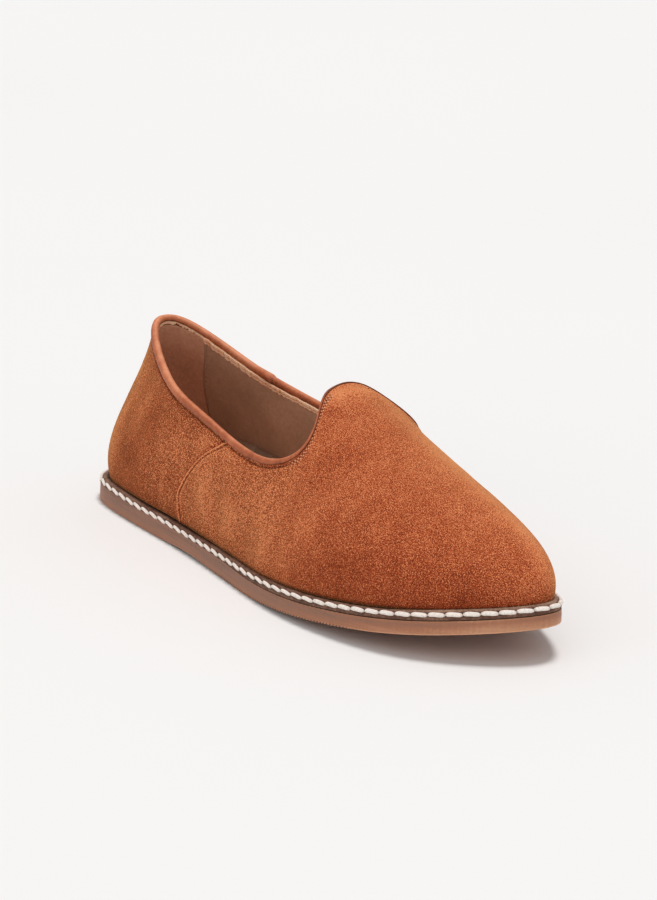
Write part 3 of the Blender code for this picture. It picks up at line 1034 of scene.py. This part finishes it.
Thread = namedtuple("Thread", "length width height blunt rings sides")
COLLAR_THREAD = Thread(1.6, 0.5, 0.4, 3.5, 6, 6)
TONGUE_THREAD = Thread(0.9, 0.65, 0.55, 3.5, 6, 6)
TONGUE_HOLE = Thread(0.75, 0.65, 0.5, 3.5, 6, 6)
LINING_THREAD = Thread(1.3, 0.4, 0.3, 3.5, 6, 6)
WELT_THREAD = Thread(7, 1.65, 1.1, 3.8, 17, 12)
Fit = namedtuple("Fit", "length girth tilt")
PLAIN_FIT = Fit(1, 1, 0)
COLLAR_PITCH = 2.1
TONGUE_PITCH = 1.6
TONGUE_RUN = 0.59
SECOND_ROW_BELOW = 3.3
STITCH_SINK = 0.18
STITCH_PATH_POINTS = 1500
SEAM_STITCH_SINK = 0.2
SEAM_STITCH_SHARES = np.linspace(0.03, 0.93, 400)
LAP_AT_TOP = Fade(LAP_STEP, SEAM_TOP_RUN, SEAM_TOP_RUN + 0.004)
LINING_STITCH_AHEAD = 1.6
LINING_STITCH_SHARES = np.linspace(0.1, 0.97, 300)
STITCH_REACH = 0.2
WELT_REACH = 0.5
PLIES = 3
PLY_DEPTH = 0.05
PLY_TWIST = 5
THREAD_DIP = 0.4
THREAD_TIP = 0.02
# Painted shade at each thread's ends, where they dip into the material
THREAD_TIP_PAINTED_SHADE = -0.5
WELT_PITCH = 6.5
WELT_FIRST_GAP = 41
WELT_THREAD_INSET = 0.4
WELT_THREAD_LIFT = 2.4


def threads(name, spots, along, out, thread, finish, slot="suede", fit=PLAIN_FIT):
    """Stitches as short plump threads that dip at both ends."""
    share = np.linspace(-1, 1, thread.rings)
    around = 2 * math.pi * np.arange(thread.sides) / thread.sides
    girth = np.sqrt(np.clip(1 - np.abs(share) ** thread.blunt, THREAD_TIP, 1))
    length, girths, tilt = (np.broadcast_to(share_of, len(spots))[:, None] for share_of in fit)
    turn = np.radians(tilt)
    heading = along * np.cos(turn) + np.cross(out, along) * np.sin(turn)
    across = np.cross(out, heading)
    count = thread.rings * thread.sides
    strip = ring_faces(thread.rings, thread.sides, False)
    ends = np.arange(thread.sides)
    dip = -THREAD_DIP * thread.height * np.abs(share) ** 4
    ply = 1 + PLY_DEPTH * np.cos(PLIES * around[None, :] + PLY_TWIST * share[:, None])
    wide = np.cos(around)[None, :] * girth[:, None] * ply * thread.width / 2
    tall = np.sin(around)[None, :] * girth[:, None] * ply * thread.height / 2
    points, faces = [], []
    for k, (spot, h, a, o) in enumerate(zip(spots, heading * length, across * girths, out)):
        middle = spot + np.outer(share * thread.length / 2, h) + np.outer(dip, o)
        rings = middle[:, None, :] + wide[..., None] * a + tall[..., None] * o
        points.append(rings.reshape(-1, 3))
        faces += (strip + k * count).tolist()
        faces.append((k * count + ends[::-1]).tolist())
        faces.append((k * count + count - thread.sides + ends).tolist())
    tone = np.tile(np.repeat(THREAD_TIP_PAINTED_SHADE * np.abs(share) ** 8, thread.sides), len(points))
    piece(name, np.vstack(points), faces, finish, tone=tone)


def heading_at(at, walk, path, reach):
    """Unit directions along a path, taken over a reach."""
    return unit(read_at(at + reach, walk, path) - read_at(at - reach, walk, path))


def spaced(path, away, pitch, start=0.5):
    """The path read at a pitch, with its directions along and outward."""
    walk = walked(path)
    at = np.arange(pitch * start, walk[-1], pitch)
    return read_at(at, walk, path), heading_at(at, walk, path, STITCH_REACH), read_at(at, walk, away)


def below_binding(first, last, below):
    """A path on the upper at a distance below the binding, and its normals."""
    run = np.linspace(first, last, STITCH_PATH_POINTS) % 2
    depth = binding_depth(run, "outer") + below
    point, away = Wall(run).below(depth)
    lap = LAP_AT_TOP(own_side(run)) * LAP_BELOW_TOP(depth)
    return point + away * (lap - STITCH_SINK)[:, None], away


def collar_stitches(finish, tongue_finish, hole_finish):
    """One row round the collar, and two lighter ones on both sides of the tongue."""
    path = below_binding(-TONGUE_RUN, TONGUE_RUN, STITCH_BELOW_BINDING)
    threads("collar_stitches", *spaced(*path, COLLAR_PITCH), COLLAR_THREAD, finish)
    sides = (("outer", TONGUE_RUN, SEWN_END.start), ("inner", -SEWN_END.start, -TONGUE_RUN))
    rows = (("first", STITCH_BELOW_BINDING, 0.5), ("second", SECOND_ROW_BELOW, 1))
    for side, first, last in sides:
        for row, below, start in rows:
            path = below_binding(first, last, below)
            name = f"{side}_tongue_{row}_row"
            threads(name, *spaced(*path, TONGUE_PITCH, start), TONGUE_THREAD, tongue_finish)
            # Dark blobs between the stitches, coloured as painted shade in the needle holes
            holes = spaced(*path, TONGUE_PITCH, start + 0.5)
            threads(f"{name}_holes", *holes, TONGUE_HOLE, hole_finish)


def seam_stitches(finish):
    """A row that holds the front panel's lapped edge on both sides."""
    share = SEAM_STITCH_SHARES
    run = seam_run(share) + SEAM_STITCH_AHEAD / SEAM_SLANT / SIDE_SPAN
    for side, wall in (("outer", Wall(run)), ("inner", Wall(2 - run))):
        point, away = wall.above(wall.height * share)
        row = spaced(point + away * (LAP_STEP - SEAM_STITCH_SINK), away, COLLAR_PITCH)
        threads(f"{side}_seam_stitches", *row, COLLAR_THREAD, finish)


def lining_stitches(finish):
    """A row along the front lining's rear edges."""
    share = LINING_STITCH_SHARES
    run = heel_line(share) + LINING_STITCH_AHEAD / SIDE_SPAN
    for side, wall in (("outer", Wall(run)), ("inner", Wall(2 - run))):
        point, away = lining_row(wall, share)
        row = spaced(point - away * FRONT_LINING_FACE, -away, COLLAR_PITCH)
        threads(f"{side}_lining_stitches", *row, LINING_THREAD, finish)


# Sole

Rim = namedtuple("Rim", "inset lift tone")
WELT_RIM = [
    Rim(0.8, 0, 0),
    Rim(0.45, 0.06, 0.1),
    Rim(0.25, 0.3, 0),
    Rim(0.15, 0.8, 0),
    Rim(0.15, 1.3, 0),
    Rim(0.25, 1.8, -0.1),
    Rim(0.45, 2.2, -0.2),
    Rim(0.75, 2.55, -0.2),
    Rim(1.1, 2.8, -0.05),
    Rim(1.6, 3, 0.1),
    Rim(2.3, 3.15, 0.12),
    Rim(2.9, 3.22, 0.05),
    Rim(3.25, 3.15, -0.05),
    Rim(3.5, 3, -0.15),
    Rim(4.2, 3, -0.2),
    Rim(6, 2.9, -0.2),
]
# The rim tones paint shade under the rubber's lower edge and a highlight on the lip just above it
RUBBER_RIM = [
    Rim(3.2, 0, 0),
    Rim(1.3, 0, -0.2),
    Rim(1, 0.22, -0.5),
    Rim(0.28, 0.28, -0.45),
    Rim(0.06, 0.36, 0.3),
    Rim(0, 0.6, 0.25),
    Rim(0, 0.85, 0.04),
    Rim(0, 1.8, 0.05),
    Rim(0, 2.6, 0.02),
    Rim(0.03, 3.4, -0.03),
    Rim(0.08, 4.2, -0.06),
]
RUBBER_TOP_RIM = [
    Rim(0.1, -0.55, -0.08),
    Rim(0.12, -0.3, 0),
    Rim(0.22, -0.06, 0.2),
    Rim(0.4, 0, 0),
    Rim(4, 0, 0),
]
WELT_UPPER_PART = Fade(1, 0, 2)
WELT_RAMP = 0.6
WELT_RAMP_TONE = 0.25
WELT_RAMP_INWARD = Fade(1, WELT_THREAD_INSET, WELT_THREAD_INSET + 2)
WELT_RAMP_AT_TOE = Fade(1, 212, 242)
# Painted light on the welt's upper part towards the heel
WELT_HEEL_PAINTED_LIGHT = Fade(0.2, 90, 0)
WELT_WEAR_TONE = 0.14
WELT_DENT = 0.2
WELT_DENT_LIFT = 0.5
WELT_DENT_INSET = 1.5
WELT_GAP_DENT = 0.25
WELT_GAP_WIDTH = 0.6
# Painted shade in the dents between the welt's stitches
WELT_GAP_PAINTED_SHADE = -0.4
# Painted light: the forefoot's rubber grows lighter towards its lower edge, as if lit through
RUBBER_GLOW = 0.08
RUBBER_GLOW_FALL = 0.045
RUBBER_FORE = Fade(1, 150, 200)
RUBBER_REAR_TONE = Fade(-0.18, 235, 150)
RUBBER_TOE_TONE = Fade(0.12, 235, 250)
RUBBER_HEEL_TONE = Fade(0.12, 20, 0)
RUBBER_WEAR_TONE = 0.05
RUBBER_WEAR = Fade(0.15, 0.8, 0)
BALL_FROM_REAR = Fade(1, 95, 115)
BALL_FROM_TOE = Fade(1, 215, 195)
TREAD_COLUMNS = 18
TREAD_RIB = 5
TREAD_DEPTH = 0.5
EDGE_NOTCH = Fade(0.85, 1.2, 0)
EDGE_NOTCH_INSET = 2
EDGE_TICK_PITCH = 2.4
EDGE_TICK_TONE = 0.3
EDGE_TICK_LIFT = 0.2

# How far the rubber's side reaches up over the welt, by distance from the heel
COVER_ALONG = (120, 145, 175, 215)
COVER_RISE = (1.3, 0.9, 0.4, 0.2)
COVER_INSET = 0.3
COVER_SET_IN = Fade(0.3, 0, 0.4)

# The stitches are longer, more slender and more tilted along the sides than round the toe
SLENDER_ALONG = (150, 215)
SLENDER_FIT = Fit((1.08, 0.96), (0.75, 1.08), (-8, -4))

# Height of the welt's upper part and stitches over their even course: low at the heel, high at the ball
SWAY_ALONG = (20, 48, 85, 118, 148, 185)
SWAY_RISE = (-0.1, -0.7, -0.75, -0.15, 0.5, -0.05)


def cover(along):
    """Rise of the rubber's side over the welt."""
    return np.interp(along, COVER_ALONG, COVER_RISE)


def welt_sway(along):
    """Shift of the welt's upper part and its stitches."""
    return np.interp(along, SWAY_ALONG, SWAY_RISE)


def rim_points():
    """Even points round the plan from the heel, with outward normals."""
    lateral, medial = two_sides(PLAN)
    sides = []
    for side in (lateral, medial):
        walk = walked(side)
        sides.append(read_at(np.linspace(0, walk[-1], RIM_COLUMNS + 1), walk, side))
    loop = np.vstack([sides[0], sides[1][-2:0:-1]])
    return loop, outward(loop)


RIM, RIM_OUT = rim_points()
RIM_WALK = walked(np.vstack([RIM, RIM[:1]]))


def rim_ring(inward, height, lift):
    """The plan set in, at a height function plus a lift."""
    plan = RIM - RIM_OUT * np.broadcast_to(inward, len(RIM))[:, None]
    return np.column_stack([plan, height(plan[:, 0]) + lift])


def cross_strips(ring, columns):
    """Rows of points across a rim ring."""
    outer = ring[1:RIM_COLUMNS]
    inner = ring[:RIM_COLUMNS:-1]
    share = np.linspace(0, 1, columns + 1)[None, :, None]
    return outer[:, None, :] * (1 - share) + inner[:, None, :] * share


def cap_faces(first, start, columns):
    """Faces across the rim ring at first, over strip points at start."""
    rows = RIM_COLUMNS - 1
    count = 2 * RIM_COLUMNS
    grid = np.empty((rows, columns + 1), int)
    grid[:, 0] = first + 1 + np.arange(rows)
    grid[:, -1] = first + count - 1 - np.arange(rows)
    grid[:, 1:-1] = start + np.arange(rows * (columns - 1)).reshape(rows, columns - 1)
    corners = [grid[:-1, :-1], grid[1:, :-1], grid[1:, 1:], grid[:-1, 1:]]
    faces = np.stack(corners, -1).reshape(-1, 4).tolist()
    faces += [[first, a, b] for a, b in zip(grid[0, :-1], grid[0, 1:])]
    faces += [[first + RIM_COLUMNS, b, a] for a, b in zip(grid[-1, :-1], grid[-1, 1:])]
    return faces


def layer(name, rings, tones, finish, node, under=None):
    """A closed sole layer from rim rings, lowest first; under lifts its lower face."""
    count = 2 * RIM_COLUMNS
    points = list(rings)
    tone = list(tones)
    faces = ring_faces(len(rings), count, False).tolist()
    start = len(rings) * count
    for ring, first, turn, height in ((rings[0], 0, -1, under), (rings[-1], start - count, 1, None)):
        strips = cross_strips(ring, TREAD_COLUMNS)
        if height is not None:
            strips[..., 2] += height
        inside = strips[:, 1:-1].reshape(-1, 3)
        faces += [face[::turn] for face in cap_faces(first, start, TREAD_COLUMNS)]
        points.append(inside)
        tone.append(np.zeros(len(inside)))
        start += len(inside)
    piece(name, np.vstack(points), faces, finish, node, np.concatenate(tone), sharp=50)


def stitched_welt(finish, thread_look):
    """The welt's rim, dented between its stitches, and the stitches."""
    count = round(RIM_WALK[-1] / WELT_PITCH)
    pitch = RIM_WALK[-1] / count
    middles = (WELT_FIRST_GAP + pitch * (np.arange(count) + 0.5)) % RIM_WALK[-1]
    phase = (RIM_WALK[:-1] - middles[0]) / pitch + 0.5
    gap = np.abs(phase - np.round(phase)) * pitch
    between = bell(gap, WELT_GAP_WIDTH)
    along = RIM[:, 0]
    wear = waver(RIM_WALK[:-1], pace=0.12, seed=9)
    rings, tones = [], []
    for rim in WELT_RIM:
        near = bell(rim.lift - WELT_THREAD_LIFT, WELT_DENT_LIFT) * (rim.inset < WELT_DENT_INSET)
        dent = near * (WELT_DENT + WELT_GAP_DENT * between)
        covered = COVER_SET_IN(cover(along) - rim.lift)
        upper = WELT_UPPER_PART(rim.lift)
        ramp = WELT_RAMP_AT_TOE(along) * WELT_RAMP_INWARD(rim.inset)
        lift = rim.lift - dent + welt_sway(along) * upper + WELT_RAMP * ramp
        rings.append(rim_ring(rim.inset + dent + covered, welt_foot, lift))
        tone = rim.tone + WELT_WEAR_TONE * wear + WELT_GAP_PAINTED_SHADE * near * between
        tones.append(tone + WELT_RAMP_TONE * ramp + WELT_HEEL_PAINTED_LIGHT(along) * upper)
    layer("welt_rim", rings, tones, finish, "welt")
    loop = np.vstack([RIM, RIM[:1]])
    out = np.vstack([RIM_OUT, RIM_OUT[:1]])
    path = loop - out * WELT_THREAD_INSET
    path = np.column_stack([path, welt_foot(path[:, 0]) + WELT_THREAD_LIFT + welt_sway(path[:, 0])])
    spots = read_at(middles, RIM_WALK, path)
    heading = heading_at(middles, RIM_WALK, path, WELT_REACH)
    lean = np.column_stack([read_at(middles, RIM_WALK, out), np.ones(count)])
    lean = unit(lean - heading * (lean * heading).sum(1)[:, None])
    fit = Fit(*(np.interp(spots[:, 0], SLENDER_ALONG, ends) for ends in SLENDER_FIT))
    threads("welt_stitches", spots, heading, lean, WELT_THREAD, thread_look, "welt_leather", fit)


def rubber_sole(finish):
    """The rubber outsole, with fine ribs that notch its edge at the ball."""
    along = RIM[:, 0]
    wear = waver(RIM_WALK[:-1], pace=0.9, seed=4)
    index = np.arange(2 * RIM_COLUMNS)
    index = np.minimum(index, 2 * RIM_COLUMNS - index)
    rib = (index % TREAD_RIB >= TREAD_RIB // 2 + 1) * 1
    ball = BALL_FROM_REAR(along) * BALL_FROM_TOE(along)
    # Darker towards the rear and lighter at the heel and toe ends, with random wear
    tone_along_and_wear = RUBBER_REAR_TONE(along) + RUBBER_TOE_TONE(along) + RUBBER_HEEL_TONE(along)
    tone_along_and_wear += RUBBER_WEAR_TONE * wear
    ticks = EDGE_TICK_TONE * ball * np.cos(2 * math.pi * RIM_WALK[:-1] / EDGE_TICK_PITCH)
    rings, tones = [], []
    for rim in RUBBER_RIM:
        notch = EDGE_NOTCH(rim.lift) * ball * rib * (rim.inset < EDGE_NOTCH_INSET)
        worn = RUBBER_WEAR(rim.lift) * wear * (rim.lift > 0)
        rings.append(rim_ring(rim.inset, tread, rim.lift + notch + worn))
        tones.append(rim.tone + tone_along_and_wear + RUBBER_FORE(along) * (RUBBER_GLOW - RUBBER_GLOW_FALL * rim.lift))
    for rim in RUBBER_TOP_RIM:
        is_edge = rim.inset < COVER_INSET
        rings.append(rim_ring(rim.inset, rubber_top, rim.lift + cover(along) * is_edge))
        tones.append(rim.tone + tone_along_and_wear + ticks * bell(rim.lift, EDGE_TICK_LIFT) * is_edge)
    grooved = rib[1:RIM_COLUMNS, None] * np.ones(TREAD_COLUMNS + 1)[None, :]
    layer("rubber_sole", rings, tones, finish, "outsole", under=grooved * TREAD_DEPTH)


# Sock lining

SOCK_ROWS = 170
SOCK_COLUMNS = 64
SOCK_ENDS = (0.03, 0.97)
SOCK_ROUND = 0.8
SOCK_BACK_ROOM = 1
PAD_FRONT = 50
PAD_BULGE = 9
PAD_EDGE = 0.8
PAD_EDGE_TONE = -0.5
PAD_STEP = Fade(0.5, 0, -PAD_EDGE)
SOCK_SHADE = Fade(-0.45, 12, 0)


def swing(start, end, count):
    """Shares from 0 to 1 that lie closer at both ends."""
    return (1 - np.cos(math.pi * np.linspace(start, end, count))) / 2


def sock_lining(finish):
    """The footbed's sock, cupped at the heel, with the edge of its pad."""
    clear = WELT_SHOW + WALL + GAP
    lateral, medial = two_sides(inset(PLAN, clear))
    along = lateral[0, 0] + (lateral[-1, 0] - lateral[0, 0]) * swing(*SOCK_ENDS, SOCK_ROWS)
    low = np.interp(along, *lateral.T)[:, None]
    high = np.interp(along, *medial.T)[:, None]
    side = low + (high - low) * swing(0, 1, SOCK_COLUMNS)
    along = np.broadcast_to(along[:, None], side.shape)
    from_edge = np.minimum(side - low, high - side)
    from_edge = np.minimum(from_edge, along - lateral[0, 0] + SOCK_BACK_ROOM)
    roll = SOCK_ROUND * (1 - np.sqrt(np.clip(from_edge / SOCK_ROUND, 0, 1)))
    middle = 1 - ((side - (low + high) / 2) / (high - low) * 2) ** 2
    past_pad = along - PAD_FRONT - PAD_BULGE * middle
    height = welt_top(along) + GAP + INSOLE_THICK + PAD_STEP(past_pad) - roll
    height += (INSOLE_HEEL_RISE + INSOLE_CUP(from_edge)) * INSOLE_RISE(along)
    front = np.stack([along, side, height], -1)
    back = np.stack([along, side, welt_top(along) + GAP], -1)
    points, faces = shell(front, back)
    shade = SOCK_SHADE(from_edge) + PAD_EDGE_TONE * bell(past_pad, PAD_EDGE)
    tone = np.concatenate([shade.ravel(), np.zeros(side.size)])
    piece("sock_lining", points, faces[:, ::-1], finish, "insole", tone)


# Stage

FLOOR_HALF = 8
FLOOR_DULL = (0.915, 0.912, 0.908)
FLOOR_BRIGHT = (0.925, 0.922, 0.918)
WORLD_COLOUR = (1, 0.995, 0.99, 1)
WORLD_STRENGTH = 0.42
LAMP_COLOUR = (1, 0.99, 0.98)
Lamp = namedtuple("Lamp", "name towards strength softness")
LAMPS = [
    Lamp("overhead", (0.05, 0.09, 1), 1.62, 16),
    Lamp("front", (0.3, -0.75, 0.6), 0.45, 70),
]


def stage():
    """Pale floor, soft light and the photograph's camera."""
    mesh = bpy.data.meshes.new("floor")
    corners = [(FLOOR_HALF * x, FLOOR_HALF * y, 0) for x, y in ((-1, -1), (1, -1), (1, 1), (-1, 1))]
    mesh.from_pydata(corners, [], [(0, 1, 2, 3)])
    floor = added("floor", mesh)
    g = Graph("floor")
    colour = g.ramp(g.noise(3), (0.3, FLOOR_DULL), (0.7, FLOOR_BRIGHT))
    mesh.materials.append(g.finish(colour, 0.8, g.bump((g.noise(300), 0.01)), Specular_IOR_Level=0.1))
    world = bpy.data.worlds.new("studio")
    world.use_nodes = True
    background = world.node_tree.nodes["Background"].inputs
    background["Color"].default_value = WORLD_COLOUR
    background["Strength"].default_value = WORLD_STRENGTH
    bpy.context.scene.world = world
    for row in LAMPS:
        lamp(*row)
    camera = added("camera", bpy.data.cameras.new("camera"))
    camera.data.lens = CAMERA_LENS
    camera.data.sensor_width = CAMERA_SENSOR
    camera.data.clip_end = 50
    turn = Matrix((CAMERA_RIGHT, CAMERA_UP, CAMERA_BACK)).transposed().to_4x4()
    camera.matrix_world = Matrix.Translation(Vector(placed([CAMERA_AT])[0])) @ turn
    bpy.context.scene.camera = camera
    bpy.context.scene.view_settings.view_transform = "Standard"


def lamp(name, towards, strength, softness):
    """A far, soft light that shines from a direction."""
    light = bpy.data.lights.new(name, "SUN")
    light.energy = strength
    light.angle = math.radians(softness)
    light.color = LAMP_COLOUR
    made = added(name, light)
    made.location = towards
    made.rotation_euler = Vector(towards).to_track_quat("Z", "Y").to_euler()


def main():
    """Dresses the shoe and sets the stage."""
    suede_upper(suede_finish())
    collar_binding(leather_finish("binding_leather"))
    linings(leather_finish("front_lining"), leather_finish("heel_lining"), leather_finish("raw_edge"))
    sewing = thread_finish("rust_thread")
    collar_stitches(sewing, thread_finish("tongue_thread"), thread_finish("needle_hole_shade"))
    seam_stitches(sewing)
    lining_stitches(thread_finish("tan_thread"))
    stitched_welt(welt_finish(), thread_finish("pale_thread"))
    rubber_sole(rubber_finish())
    sock_lining(leather_finish("sock_leather"))
    stage()


main()
